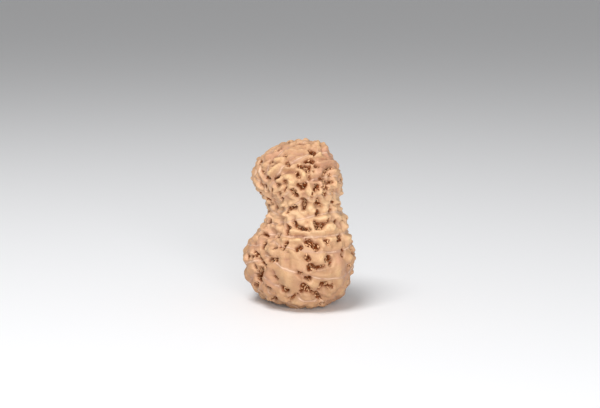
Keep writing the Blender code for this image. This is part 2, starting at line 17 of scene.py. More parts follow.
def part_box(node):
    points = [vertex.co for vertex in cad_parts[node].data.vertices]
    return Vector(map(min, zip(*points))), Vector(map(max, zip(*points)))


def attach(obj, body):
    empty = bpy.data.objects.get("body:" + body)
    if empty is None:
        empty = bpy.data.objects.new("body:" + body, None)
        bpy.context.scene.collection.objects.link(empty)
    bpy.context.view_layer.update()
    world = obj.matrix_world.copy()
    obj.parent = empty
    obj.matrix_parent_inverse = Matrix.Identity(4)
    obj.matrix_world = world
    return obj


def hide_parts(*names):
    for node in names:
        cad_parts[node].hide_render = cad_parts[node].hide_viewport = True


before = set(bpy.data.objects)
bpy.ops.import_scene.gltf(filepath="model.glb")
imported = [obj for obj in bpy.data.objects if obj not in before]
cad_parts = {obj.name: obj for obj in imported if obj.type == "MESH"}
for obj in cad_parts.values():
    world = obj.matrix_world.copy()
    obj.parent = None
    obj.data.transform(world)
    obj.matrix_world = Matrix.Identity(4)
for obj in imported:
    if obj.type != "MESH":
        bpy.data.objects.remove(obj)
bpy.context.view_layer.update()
lowest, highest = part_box("rudraksha_bead")
BEAD_HEIGHT = 32.03  # in millimetres, ridges and all
MM = (highest.z - lowest.z) / BEAD_HEIGHT
print(f"one millimetre is {MM * 1000:.3f} mm in the scene")

# %% [markdown]
# ## The camera
#
# The photograph seems to look slightly down on the bead, from about a forearm away: both are judged.
# The camera is made first, since the pits of the seen face are placed by looking through it: a
# pixel gives a direction, and the pit lies where that direction meets the stone.

# %% The camera, from the photograph's view
PIXEL = 0.1945 * MM
SIGHT_CENTRE = (300, 204)
SIGHT_AIM = (0.2 * MM, 0.0, 19.55 * MM)
SIGHT_DISTANCE = 275 * MM
SIGHT_ELEVATION = math.radians(10)
SENSOR = 36.0

ahead = np.array([0, math.cos(SIGHT_ELEVATION), -math.sin(SIGHT_ELEVATION)])
above = np.array([0, math.sin(SIGHT_ELEVATION), math.cos(SIGHT_ELEVATION)])

camera = bpy.data.objects.new("camera", bpy.data.cameras.new("camera"))
bpy.context.scene.collection.objects.link(camera)
bpy.context.scene.camera = camera
camera.location = Vector(np.array(SIGHT_AIM) - SIGHT_DISTANCE * ahead)
camera.rotation_euler = Vector(ahead).to_track_quat("-Z", "Y").to_euler()
camera.data.sensor_width = SENSOR
camera.data.lens = SENSOR * SIGHT_DISTANCE / (2 * SIGHT_CENTRE[0] * PIXEL)
camera.data.clip_start = 10 * MM
print(f"lens {camera.data.lens:.0f} mm")


def seen(points):
    """Places in the photograph, in its pixels."""
    from_aim = points - np.array(SIGHT_AIM)
    nearing = SIGHT_DISTANCE / (SIGHT_DISTANCE + from_aim @ ahead) / PIXEL
    across = SIGHT_CENTRE[0] + from_aim[..., 0] * nearing
    return np.stack([across, SIGHT_CENTRE[1] - from_aim @ above * nearing], axis=-1)


# %% [markdown]
# ## The smooth stone
#
# Rudraksha stones have from one to some twenty faces, which meet along suture lines from pole to
# pole, like the segments of an orange. On a stone with many faces the poles are drawn out into long
# furrows, so the lines are not circles through two points. They are the curves of a flattened
# coordinate system, ellipses and hyperbolas about two foci, wrapped over an oval body. A grid made in
# those coordinates follows the grain of the stone, which a sculpted or a subdivided sphere would not.

# %% The stone's measures
HEIGHT = 31.65 * MM  # without the ridges
WAIST_DROP = 1.45 * MM  # the middle of the furrows lies this much below half the height
BLUNT = 0.2  # how much flatter the crown and the foot are than a sphere's
POLE_TURN = math.radians(38)  # how far the left pole is turned towards the viewer
FURROW_SHARE = 0.52  # length of each pole's furrow as a share of the height
THROUGH_POLES = 0.93  # breadth from pole to pole, as a share of the stations' breadth
ACROSS_POLES = 1.07  # breadth square to that

# Stations: level from the foot at -1 to the crown at 1, half breadth and middle's place in X
STATIONS = (
    (-1.00, 12.5 * MM, 1.0 * MM),
    (-0.50, 11.5 * MM, 0.3 * MM),
    (-0.20, 10.4 * MM, 0.75 * MM),
    (0.10, 7.7 * MM, 1.8 * MM),
    (0.30, 7.3 * MM, 1.2 * MM),
    (0.52, 9.8 * MM, 0.25 * MM),
    (0.78, 10.8 * MM, 0.1 * MM),
    (1.00, 10.6 * MM, 1.8 * MM),
)
LEFT_HOLLOW = 0.13  # how far the furrow of the left pole sinks in, as a share of the half breadth
RIGHT_HOLLOW = 0.12
HOLLOW_REACH = 0.30


# %% A point of the smooth stone
def smooth_through(levels, values, at):
    """Values of a smooth curve through the stations; its slopes come from the neighbouring ones."""
    slopes = np.gradient(values, levels)
    step = np.clip(np.searchsorted(levels, at) - 1, 0, len(levels) - 2)
    width = levels[step + 1] - levels[step]
    t = (at - levels[step]) / width
    rise = t * t * (3 - 2 * t)
    leave = t * (1 - t) ** 2 * width * slopes[step]
    arrive = t * t * (t - 1) * width * slopes[step + 1]
    return values[step] * (1 - rise) + values[step + 1] * rise + leave + arrive


def stone_point(turn, cross):
    """turn is the angle round the stone, from the crown over the front; cross runs over it along a
    suture line, from 0 in the left furrow to 1 in the right one."""
    spread = np.sin(math.pi * cross)
    widest = math.atanh(math.sqrt(1 - FURROW_SHARE**2))
    level = FURROW_SHARE * np.cosh(widest * spread) * np.cos(turn)
    side = np.sinh(widest * spread) / math.sinh(widest) * np.sin(turn)
    pole = np.sqrt(np.clip(1 - level**2 - side**2, 0, None)) * np.where(cross < 0.5, 1, -1)
    hollow = np.where(cross < 0.5, LEFT_HOLLOW, RIGHT_HOLLOW) * np.exp(-((spread / HOLLOW_REACH) ** 2))
    pole = pole * (1 - hollow)

    levels, breadths, middles = np.array(STATIONS).T
    breadth = smooth_through(levels, breadths, level)
    through = THROUGH_POLES * breadth * pole
    across = ACROSS_POLES * breadth * side
    x = smooth_through(levels, middles, level) - math.cos(POLE_TURN) * through
    x = x + math.sin(POLE_TURN) * across
    y = -math.sin(POLE_TURN) * through - math.cos(POLE_TURN) * across
    blunt = level * (1 + BLUNT - BLUNT * level**2)
    z = HEIGHT / 2 * (1 + blunt) - WAIST_DROP * (1 - level**2)
    return np.stack([x, y, z], axis=-1)


# %% The stone's grid
TURN_STEPS = 570
CROSS_STEPS = 170
NUDGE = 1e-4

turn, cross = np.meshgrid(
    2 * math.pi * np.arange(TURN_STEPS) / TURN_STEPS, np.linspace(0, 1, CROSS_STEPS + 1)
)
places = stone_point(turn, cross)
inner = np.clip(cross, 3 * NUDGE, 1 - 3 * NUDGE)
along = stone_point(turn + NUDGE, inner) - stone_point(turn - NUDGE, inner)
over = stone_point(turn, inner + NUDGE) - stone_point(turn, inner - NUDGE)
outward = np.cross(along, over)
outward /= np.linalg.norm(outward, axis=-1, keepdims=True)
facing = -outward @ ahead
pixels = seen(places)
spaces = np.linalg.norm(np.diff(places[CROSS_STEPS // 2], axis=0), axis=1)
print(f"{CROSS_STEPS + 1} rows of {TURN_STEPS} points, {spaces.mean() / MM:.2f} mm apart in the middle")

# %% [markdown]
# ## The suture lines
#
# The lines of the seen face are set where the photograph shows them. The others share out the rest of
# the way round the stone, and wander a little as a grown thing does.

# %% Where the suture lines run
FACES = 21
LINE_COLUMN = 312  # the seen lines cross this column of the photograph
LINE_ROWS = (155, 181, 197.5, 216.5, 237, 252, 276, 299)
LINE_FACING = 0.1  # a line is looked for where the stone faces the viewer at least this much
HIDDEN_SEED = 19
LINE_WANDER = 0.12
WAY_POINTS = 300  # of the hidden way round, whose length is measured


def nearest(x, y, least):
    """Index of the grid point that shows at a pixel, of those that face the viewer at least so much."""
    gap = np.hypot(pixels[..., 0] - x, pixels[..., 1] - y)
    return np.where(facing < least, np.inf, gap).argmin()


seen_turns = [turn.flat[nearest(LINE_COLUMN, row, LINE_FACING)] for row in LINE_ROWS]
unseen = np.linspace(seen_turns[-1], seen_turns[0] + 2 * math.pi, WAY_POINTS)
loop = stone_point(unseen, np.full(WAY_POINTS, 0.5))
way = np.append(0, np.cumsum(np.linalg.norm(np.diff(loop, axis=0), axis=1)))
rest = FACES - len(LINE_ROWS)
wander = np.random.default_rng(HIDDEN_SEED).uniform(-LINE_WANDER, LINE_WANDER, rest)
others = np.interp(way[-1] * (np.arange(1, rest + 1) + wander) / (rest + 1), way, unseen)
lines = np.sort(np.append(seen_turns, others) % (2 * math.pi))
print(f"{FACES} faces, {way[-1] / MM / (rest + 1):.1f} mm broad where they are hidden")

# %% [markdown]
# ## The pits
#
# Each pit is a short stroke with a width, so that it may be round, oval or a groove, and a bent or
# branched pit is a few strokes that touch. The seen ones are read off the photograph, and so are the
# boldest knobs and hollows. On the sides and the back a rule lays the pits in two staggered rows along
# every face, with seeded lengths, widths and leanings in the range of the seen ones.

# %% The seen face's pits: x and y of both ends of each stroke, and its width, in pixels
SEEN_PITS = (
    # crown
    (296, 147, 298, 147, 5.2),
    (302.5, 144.5, 304, 145.5, 6.2),
    (308, 144.5, 309.5, 145.5, 4.7),
    (313, 144, 315, 145, 4.7),
    (280.5, 150, 282, 151.5, 5.8),
    (285.8, 156.5, 286.8, 157, 5.5),
    (313.5, 151, 315, 154.5, 6.8),
    (273, 162, 275, 162, 3.9),
    (289.5, 163.5, 292, 166, 3.7),
    (277.5, 151.5, 278.5, 152, 3.8),
    # second face, with its deep star of pits
    (275, 169, 278.5, 166, 3.9),
    (276.8, 178, 282.3, 177, 3.9),
    (299.5, 173, 301, 177.5, 3.5),
    (268.5, 178, 270, 179.5, 4.5),
    (271, 176, 271.5, 177.5, 2.5),
    (262.5, 178, 263, 184.5, 3.1),
    (264.5, 169.5, 265.5, 172, 3.1),
    (307, 162, 309, 161, 2.8),
    (310.5, 161, 312.5, 162, 3.2),
    (313.5, 160.5, 316, 161.5, 3.2),
    (315.5, 163, 315, 164.5, 2.4),
    (301.8, 166.5, 302.5, 168, 3.1),
    (304.5, 167, 305.5, 168.5, 3.2),
    (307, 165.5, 308.5, 168, 3),
    (309, 170.5, 311, 172.5, 3.2),
    (311.5, 166, 312, 170, 2.4),
    (314.5, 171.5, 315.5, 173.5, 2.2),
    (317, 166, 319.5, 167.5, 3.8),
    (311.5, 176, 311.8, 179.5, 2.7),
    (334, 168.5, 330, 169.5, 3.5),
    (328.5, 170.5, 325.5, 174.5, 3.7),
    (331, 175, 332, 175.5, 2.7),
    (323.5, 178, 326, 178.5, 3.3),
    (339.5, 165, 340.5, 167, 3.5),
    (341, 181.5, 342, 182.5, 2.9),
    # third face
    (287.5, 182, 289.5, 182, 4.3),
    (278, 184.5, 280, 185, 3.3),
    (289, 187, 287, 190.5, 2.7),
    (265, 185.5, 266, 187, 2.3),
    (268, 185.5, 269, 187, 2.3),
    (301, 185, 304, 188.5, 3.9),
    (304.5, 188.5, 308, 184.5, 3.9),
    (303.5, 184.5, 305, 186, 3.3),
    (296, 190, 298.5, 195, 5.5),
    (293.5, 190, 294.5, 192, 2.5),
    (315, 192, 319, 187, 4.3),
    (314, 195.5, 314.5, 196.5, 2.7),
    (327, 182.5, 328.5, 183, 3.7),
    (328, 187, 329.5, 189.5, 3.3),
    (325.8, 187.5, 326.5, 189, 2.7),
    (325.5, 192.5, 328, 194.5, 4.9),
    (335, 194, 337, 190, 5.1),
    (332, 181.5, 334, 182.5, 2.7),
    (282, 193, 283, 196, 3.9),
    (263, 193, 265, 195.5, 4.9),
    # fourth face, at the waist
    (270.5, 197.5, 272, 198.5, 3.5),
    (274, 203, 275, 203.5, 3.1),
    (270.5, 205.5, 271.8, 203.5, 3.1),
    (276, 200.5, 276.5, 201.5, 2.5),
    (305, 200.3, 307, 200.6, 3.5),
    (308, 202.5, 307, 205, 4.1),
    (305.5, 205, 306, 206, 3.1),
    (306.3, 207.5, 306.3, 208.8, 2.9),
    (318, 203.8, 322.5, 204.5, 3.7),
    (320, 200.5, 320.5, 202, 2.7),
    (332.5, 202.5, 335, 202.5, 2.5),
    (332.3, 206, 332.8, 206.3, 2.1),
    (332, 211, 333.5, 209.5, 3.5),
    (319.5, 211.5, 320, 213.5, 3.7),
    (298, 207, 293.5, 208.5, 3.3),
    (293, 209, 291.5, 212.5, 2.9),
    (279.5, 208, 280.5, 209.5, 2.9),
    (271, 210.5, 272, 213, 3.3),
    (284.5, 198, 284.7, 199.5, 2.5),
    # fifth face
    (296.5, 222.5, 298, 225, 3.7),
    (298.5, 225.5, 301.5, 227.2, 3.7),
    (302, 227.5, 305, 228, 3.5),
    (306, 228.5, 309.5, 229, 4.3),
    (311.5, 229.5, 312.5, 230.2, 3.3),
    (317, 222, 319.5, 227.5, 3.7),
    (320, 228, 323, 228.5, 3.1),
    (320, 224, 326, 224, 2.9),
    (325.5, 225, 324.2, 228, 2.7),
    (326.5, 223.5, 330.8, 219.8, 2.5),
    (288.8, 226, 291.3, 228, 4.1),
    (289, 230.5, 289.5, 233, 3.1),
    (338, 223, 339.5, 221, 3.7),
    (340, 225, 341.5, 226.8, 3.1),
    (271.5, 222.5, 273.5, 221.3, 3.3),
    (262, 238, 266, 234, 2.9),
    (266.8, 234, 271, 236, 2.5),
    # sixth face
    (280.5, 238, 282.5, 235.5, 4.5),
    (288, 244.5, 290.5, 243, 3.9),
    (300, 249.5, 302, 248, 5.5),
    (308.5, 241, 311, 243, 4.5),
    (311, 242.5, 319, 247, 7.9),
    (327.5, 241.5, 328.5, 243, 3.9),
    (340, 240, 342.5, 237, 5.7),
    (283, 247, 286, 249, 2.9),
    (266.5, 247.5, 267.5, 244.5, 4.9),
    (277, 250, 279, 249.5, 3.5),
    # seventh face
    (271.5, 258.5, 274, 257, 3.1),
    (272, 261, 275, 260, 3.5),
    (275.5, 259.5, 279, 259.5, 3.7),
    (309.5, 256.5, 311, 259.5, 4.9),
    (329, 259, 331, 257.5, 4.5),
    (331.5, 258, 334, 260.5, 4.5),
    (334, 262, 332, 265, 3.1),
    (311.5, 268, 313, 266, 5.3),
    (314, 265.5, 316.5, 267, 3.9),
    (320, 268, 322.5, 267.5, 4.3),
    (323.5, 266.5, 325.5, 266, 3.3),
    (344.5, 256, 345.5, 250, 3.5),
    # round the furrow of the left pole
    (259, 252.5, 262, 255, 4.3),
    (255, 257, 261, 255.5, 3.5),
    (262, 257, 264, 259, 3.9),
    (266, 261.5, 267, 262, 4.7),
    (269, 264, 271, 266, 4.1),
    (258, 266, 259, 268, 3.3),
    (264, 269, 268, 269, 4.9),
    (262, 272, 265, 271, 3.7),
    (260.5, 276, 262.5, 278.5, 5.7),
    (265, 275, 264.5, 278, 4.7),
    # eighth face and foot
    (308, 278.5, 312, 278.5, 4.3),
    (302, 273.5, 304, 273.5, 3.3),
    (304.5, 287.5, 306, 286, 5.3),
    (306, 286, 309, 288, 5.5),
    (303, 292, 306, 291, 4.3),
    (308, 291, 315, 292, 3.9),
    (318, 293, 320, 296, 5.3),
    (321, 298, 322.5, 299, 4.5),
    (321, 288.5, 324, 285, 4.9),
    (324, 283.5, 328, 283, 4.3),
    (328, 285, 331, 286, 5.3),
    (331, 287, 333.5, 286, 4.5),
    (293, 297, 299, 295, 3.7),
    (284, 287.5, 288, 287, 4.3),
    (287, 290.5, 290.5, 290, 5.1),
    (269.5, 285, 273, 287, 4.9),
    (276.5, 277, 278.5, 278, 3.3),
    (264, 293, 267, 294, 3.7),
    (257, 287, 258.5, 287.5, 3.5),
)

# %% The seen face's boldest knobs: both ends of each stroke, and its width, in pixels
SEEN_KNOBS = (
    # crown and upper lobe
    (286, 141, 287, 142, 8),
    (291, 142, 303, 141.8, 4.5),
    (307, 140, 308, 140.3, 7),
    (317.5, 143, 318.5, 147, 7.5),
    (326, 148, 327, 152, 8),
    (284, 143, 286, 147, 4),
    (286, 147, 291, 149, 4),
    (291, 149, 300, 148.5, 4),
    (300, 148.5, 306, 147.2, 4),
    (306, 147.2, 312, 147.2, 4),
    (284, 152.5, 292, 152.5, 4.5),
    (292, 152.5, 308, 151.5, 4.5),
    (320.5, 150, 321.5, 156, 6.5),
    (300, 158.3, 309, 157, 4.5),
    (309, 157, 313, 158.5, 4.5),
    (318, 156.5, 327, 159, 4.5),
    (270, 158.5, 276, 156, 4.5),
    (276, 156, 283, 154, 4.5),
    (272, 153.5, 279, 149, 4.5),
    (264, 161, 269, 158.5, 4.5),
    (280, 161.5, 287, 162, 6),
    (274, 173, 278, 169.3, 5.5),
    (278, 169.3, 283, 166.5, 5.5),
    (283, 166.5, 288, 167.8, 5.5),
    (288, 167.8, 296, 168, 5.5),
    (296, 168, 301, 165, 5.5),
    (293, 162, 297, 159.5, 4),
    (301, 170.5, 305, 173.5, 5.5),
    (305, 173.5, 306.5, 178, 5.5),
    (281, 179.8, 287, 177.7, 5.5),
    (287, 177.7, 293, 176.2, 5.5),
    (293, 176.2, 298, 179.5, 5.5),
    (279, 182, 287, 180, 3.5),
    (291, 181.5, 297, 182, 4.5),
    (315.5, 175, 321, 172, 8),
    (313.3, 166.3, 314, 166.8, 4),
    (320, 163.5, 328, 163, 5.5),
    (328, 163, 336, 164.5, 5.5),
    (334.5, 173, 337, 176, 8),
    (335.5, 181, 337, 187, 6),
    (264.5, 175, 266.5, 182, 3),
    (279, 189.5, 286, 187, 4.5),
    (293, 186, 297, 187, 4.5),
    (302, 191, 303, 195, 4.5),
    (309, 184, 312, 192, 7),
    (321.5, 184, 321.5, 192.5, 5),
    (330.5, 186, 333, 186, 4.5),
    (312, 182.7, 322, 182.7, 3.5),
    (270, 189.5, 277, 191, 6),
    (285, 196, 288, 193, 5),
    # waist
    (294, 203, 302, 202.5, 6.5),
    (311, 200.5, 317, 201, 3.5),
    (313, 206, 315, 211, 8),
    (325, 201, 328, 201.5, 5),
    (326, 207, 326.5, 211, 8),
    (335, 201.3, 338, 202, 4),
    (336, 209, 337, 211.5, 6.5),
    (342, 206, 344, 207, 7),
    (294, 212.3, 299, 213, 6),
    (283, 211.5, 290, 213, 6),
    (303, 212.5, 307, 213, 4.5),
    (346, 216, 347.5, 218.5, 7),
    (302, 218, 305, 220.5, 8),
    (303, 222, 304, 222.5, 6),
    (320, 218, 330, 217.5, 6.5),
    (339, 217, 341, 218.5, 6),
    (313.5, 223, 316, 229, 5.5),
    (330, 228, 333, 228, 9),
    (278, 224, 283, 229, 9),
    (345, 223, 346, 227, 6),
    (283, 203, 288, 203, 5.5),
    # lower lobe
    (295, 232.5, 324, 233.5, 6.5),
    (286, 237, 288, 240, 6.5),
    (294, 241, 303, 240, 6),
    (323, 240, 325, 246, 5.5),
    (331, 240, 335, 238, 7),
    (272, 250, 277, 253, 6.5),
    (348, 240, 350, 246, 7),
    (273, 243, 276, 245, 6),
    (350, 259, 351, 264, 9),
    (350, 276, 351, 278, 6),
    (314, 282, 318, 284, 8),
    (326, 292, 329, 293, 6.5),
    (298, 299, 312, 298, 8),
    (283, 295, 288, 297, 7),
    (340, 280, 344, 283, 10),
    (342, 289, 344, 293, 11),
    (270, 291, 276, 293, 6),
)

# %% The soft hollows between them
SEEN_HOLLOWS = (
    (277.5, 176.5, 284, 172, 3.5),
    (284, 172, 296, 172.3, 3.5),
    (290, 144.5, 300, 145.5, 3.5),
    (300, 145.5, 313, 144.5, 3.5),
    (253, 166, 253, 169, 8),
    (277, 157.5, 284, 158, 2.5),
    (290, 161, 297, 159, 2.5),
    (311, 201.5, 318, 203.5, 2.5),
    (327, 165, 335, 166, 2.5),
    (303, 225, 311, 223, 4),
    (255, 238, 258, 245, 4),
    (289.5, 255, 290.5, 266, 7.5),
    (275.5, 273, 277, 278, 6.5),
    (259, 259, 262, 262, 4),
    (262, 236, 270, 234, 3),
    (292, 300, 302, 302, 3),
    (298, 236, 304, 236.5, 3.5),
    (327, 251, 333, 252, 4),
    (313, 272, 330, 271, 3.5),
    (300, 271, 304, 277, 4),
)

# %% The hidden pits, by rule
MARK_FACING = 0.02  # a mark's ends are looked for nearly out to the outline
HIDDEN_STEP = 1.75 * MM
HIDDEN_SPREAD = (0.75, 1.3)  # range of the steps
HIDDEN_START = (0.1, 0.9)  # range of the first step
HIDDEN_LENGTHS = (0.1 * MM, 1.8 * MM)
HIDDEN_WIDTHS = (0.6 * MM, 1.2 * MM)
HIDDEN_ROWS = (0.32, 0.68)  # the two rows of a face, as shares of its breadth
ROW_WANDER = 0.09
HIDDEN_FACING = 0.42  # the rule starts where the surface turns away from the viewer this much
APART = 1.5 * MM  # and keeps this far from the pits read off the photograph
FACE_POINTS = 200  # of a face's middle line, whose length is measured
CROSS_ENDS = (0.02, 0.98)  # the pits stop short of the furrows
ASIDE = 1e-3  # a small step in turn and cross, which shows where east and north are


def on_stone(marks):
    """Marks of the photograph as strokes on the stone: both ends and half the width."""
    strokes = []
    for x0, y0, x1, y1, width in marks:
        ends = ((x0, y0), (x1, y1))
        start, end = (places.reshape(-1, 3)[nearest(x, y, MARK_FACING)] for x, y in ends)
        strokes.append((start, end, width * PIXEL / 2))
    return strokes


def hidden_strokes(known):
    """Pits in two staggered rows along every face, wherever the photograph doesn't show it well."""
    draw = np.random.default_rng(HIDDEN_SEED)
    known = np.array([(start + end) / 2 for start, end, _ in known])
    strokes = []
    for first, last in zip(lines, np.append(lines[1:], lines[0] + 2 * math.pi), strict=True):
        crosses = np.linspace(*CROSS_ENDS, FACE_POINTS)
        middle = stone_point(np.full(FACE_POINTS, (first + last) / 2), crosses)
        lengths = np.append(0, np.cumsum(np.linalg.norm(np.diff(middle, axis=0), axis=1)))
        place, row = HIDDEN_STEP * draw.uniform(*HIDDEN_START), int(draw.random() < 0.5)
        while place < lengths[-1]:
            at = np.interp(place, lengths, crosses)
            share = HIDDEN_ROWS[row] + draw.uniform(-ROW_WANDER, ROW_WANDER)
            round_at = first + (last - first) * share
            lean = draw.uniform(0, math.pi)
            half = draw.uniform(*HIDDEN_LENGTHS) / 2
            width = draw.uniform(*HIDDEN_WIDTHS)
            turns, overs = [round_at, round_at + ASIDE, round_at], [at, at, at + ASIDE]
            near = stone_point(np.array(turns), np.array(overs))
            east, north = near[1] - near[0], near[2] - near[0]
            east, north = east / np.linalg.norm(east), north / np.linalg.norm(north)
            reach = half * (math.cos(lean) * east + math.sin(lean) * north)
            clear = np.linalg.norm(known - near[0], axis=1).min() > APART
            if clear and -np.cross(east, north) @ ahead < HIDDEN_FACING:
                strokes.append((near[0] - reach, near[0] + reach, width / 2))
            place += HIDDEN_STEP * draw.uniform(*HIDDEN_SPREAD)
            row = 1 - row
    return strokes


pits = on_stone(SEEN_PITS)
pits += hidden_strokes(pits)
print(f"{len(SEEN_PITS)} pit strokes are read off, and {len(pits) - len(SEEN_PITS)} follow the rule")

# %% [markdown]
# ## What the relief reads
#
# The tree below needs to know, at every point, how far the nearest pit's rim and the nearest suture
# line are. The gap to a pit is measured to its stroke, and neighbouring pits are joined softly, so
# that the ridge between two of them is round and not a knife's edge. All that is measured here goes
# onto the mesh as attributes, together with five smooth noises.

# %% Gaps to the pits
BLEND = 0.12 * MM
GAP_LIMITS = (-1 * MM, 4 * MM)  # a gap beyond these makes no difference that can be seen
TINY = 1e-12  # keeps a division and a logarithm away from nothing

flat = places.reshape(-1, 3)


def stroke_distance(stroke):
    """Distance of every point to the middle line of a stroke."""
    start, end, _ = stroke
    line = end - start
    share = np.clip((flat - start) @ line / max(line @ line, TINY), 0, 1)
    return np.linalg.norm(flat - start - share[:, None] * line, axis=1)


def pit_gap():
    """Distance to the rim of the nearest pit, negative inside it, softly joined between pits."""
    nearness = np.zeros(len(flat))
    for pit in pits:
        gap = stroke_distance(pit) - pit[2]
        nearness += np.exp(-np.clip(gap, *GAP_LIMITS) / BLEND)
    return -BLEND * np.log(nearness + TINY)


# %% Smooth noises: the size of their lumps, and a shift that makes each one its own
NOISES = {
    "ragged": (0.9 * MM, 3.7),
    "ragged_fine": (0.38 * MM, 1.9),
    "net": (np.array([1.9, 1.9, 1.25]) * MM, 5.3),
    "lump": (1.6 * MM, 6.6),
    "swell": (2.3 * MM, 8.1),
}


def grain(size, shift):
    """Smooth noise from -1 to 1 with lumps about this size."""
    offset = Vector((shift, 2 * shift, 3 * shift))
    return np.array([noise.noise(Vector(p) + offset) for p in flat / size])


# %% Gaps to the suture lines
LINE_WAVER = 0.20 * MM
WAVER_GRAIN = (1.8 * MM, 2.9)  # size and shift of its noise
LEAST_STRETCH = 1 * MM  # near the furrows a turn spans hardly any way, so the waver is held back there
TINY_STRETCH = 1e-9


def line_gap():
    """How far each place is from the nearest suture line, which wavers a little on its way."""
    stretch = np.linalg.norm(along, axis=-1) / (2 * NUDGE) + TINY_STRETCH
    wavering = LINE_WAVER * grain(*WAVER_GRAIN).reshape(turn.shape) / np.maximum(stretch, LEAST_STRETCH)
    offset = np.abs(((turn + wavering)[..., None] - lines + math.pi) % (2 * math.pi) - math.pi)
    return (offset.min(axis=-1) * stretch).ravel()


# %% [markdown]
# ## Knobs, hollows and calm places
#
# The net alone would look the same all over. The real stone has bold knobs and soft hollows in places
# of their own, and its lower lobe is smoother, with wide funnels round the pits. So each place also
# gets a height for its knobs, a depth for its hollows and a share that says how lively the net is. The
# net is calmer beside the knobs read off the photograph, so that the two don't fight, and on the seen
# side of the lower lobe.

# %% Where the stone is broad and calm, and how it faces the viewer
CALM_BELOW = 9 * MM  # the broad lower lobe is smoother
LIVELY_ABOVE = 15 * MM

rise = np.clip((flat[:, 2] - CALM_BELOW) / (LIVELY_ABOVE - CALM_BELOW), 0, 1)
rise = rise * rise * (3 - 2 * rise)
towards = facing.ravel()


# %% The knobs, and the hollows between them
PLATEAU = 4  # how flat they are on top
KNOB_WHOLE = 0.78 * MM  # a knob of this half breadth has its full height, a narrower one less
KNOB_MEAN = 0.30  # about this share of the seen face is knobs
KNOB_NEAR = 0.6 * MM  # the net is weakest this close to a knob
KNOB_FAR = 1.4 * MM  # and whole again this far from it
READ_OFF_FROM = -0.30  # from this facing on, the knobs read off the photograph take the net's place
READ_OFF_WHOLLY = 0.10
CALM_KNOBS = 0.60  # height of the lower lobe's knobs, as a share of the upper lobe's
SQUARELY = 0.35  # where the stone faces the viewer this much, the knobs are whole
EDGE_KNOBS = 0.35  # at the outline they are seen from the side, and are low


def rounded(marks):
    """Up to 1 on the middle line of every mark, flat on top and falling off round half its width."""
    heights = []
    for stroke in on_stone(marks):
        whole = min(1, stroke[2] / KNOB_WHOLE)
        heights.append(whole * np.exp(-((stroke_distance(stroke) / stroke[2]) ** PLATEAU)))
    return np.max(heights, axis=0)


read_off = np.clip((towards - READ_OFF_FROM) / (READ_OFF_WHOLLY - READ_OFF_FROM), 0, 1)
knob_gap = np.min([stroke_distance(stroke) - stroke[2] for stroke in on_stone(SEEN_KNOBS)], axis=0)
read_off *= np.clip((KNOB_FAR - knob_gap) / (KNOB_FAR - KNOB_NEAR), 0, 1)
squarely = np.clip(towards / SQUARELY, 0, 1)
knob = rounded(SEEN_KNOBS) * (EDGE_KNOBS + (1 - EDGE_KNOBS) * squarely) - KNOB_MEAN * read_off * squarely
knob *= CALM_KNOBS + (1 - CALM_KNOBS) * rise

# %% How lively the net is
CALM_SHARE = 0.10
CALM_FACING = 0.30  # the lower lobe is calm only where it faces the viewer
AWAY_SHARE = 0.45  # the net of its hidden sides, as a share of the upper lobe's
READ_OFF_SHARE = 0.50

turned_away = np.clip(1 - towards / CALM_FACING, 0, 1)
lively = CALM_SHARE + (1 - CALM_SHARE) * np.maximum(rise, turned_away * AWAY_SHARE)
lively *= 1 - (1 - READ_OFF_SHARE) * read_off

# %% All the attributes
BROADER = 1.8  # how much larger the lumps and the pits' funnels are on the lower lobe
FURROW_BREADTH = 0.30

fields = {
    "pit_gap": pit_gap(),
    "knob": knob,
    "hollow": rounded(SEEN_HOLLOWS),
    "line_gap": line_gap(),
    **{name: grain(size, shift) for name, (size, shift) in NOISES.items()},
    "lively": lively,
    "broad": BROADER + (1 - BROADER) * rise,
    "furrow": np.exp(-((np.sin(math.pi * cross) / FURROW_BREADTH) ** 2)).ravel(),
}
for name, values in fields.items():
    print(f"{name}: from {values.min():.4f} to {values.max():.4f}")

# %% [markdown]
# ## A mesh that closes like a zip
#
# The two long edges of the grid are the furrows. Each closes on itself, point to point, so the body
# has no hole and no pole where many faces crowd together.

# %% The smooth stone as a mesh
def smooth_stone():
    """The grid as a closed mesh that carries the attributes."""
    index = np.arange(len(flat)).reshape(turn.shape)
    column = np.arange(TURN_STEPS)
    for row in (0, -1):
        index[row] = index[row][np.minimum(column, TURN_STEPS - column) % TURN_STEPS]
    after = np.roll(index, -1, axis=1)
    quads = np.stack([index[:-1], after[:-1], after[1:], index[1:]], axis=-1).reshape(-1, 4)
    used, quads = np.unique(quads, return_inverse=True)
    mesh = bpy.data.meshes.new("rudraksha_stone")
    mesh.from_pydata(flat[used].tolist(), [], quads.reshape(-1, 4).tolist())
    for name, values in fields.items():
        attribute = mesh.attributes.new(name, "FLOAT", "POINT")
        attribute.data.foreach_set("value", values[used].astype(np.float32))
    direction = mesh.attributes.new("outward", "FLOAT_VECTOR", "POINT")
    direction.data.foreach_set("vector", outward.reshape(-1, 3)[used].astype(np.float32).ravel())
    return mesh


stone = bpy.data.objects.new("rudraksha_stone", smooth_stone())
bpy.context.scene.collection.objects.link(stone)
print(f"{len(stone.data.polygons)} faces")

# %% [markdown]
# ## A helper for node trees
#
# Formulas in node trees are long to wire by hand. This small class writes them as a maker would say
# them: each call adds one node and returns its output, ready to be the input of the next.

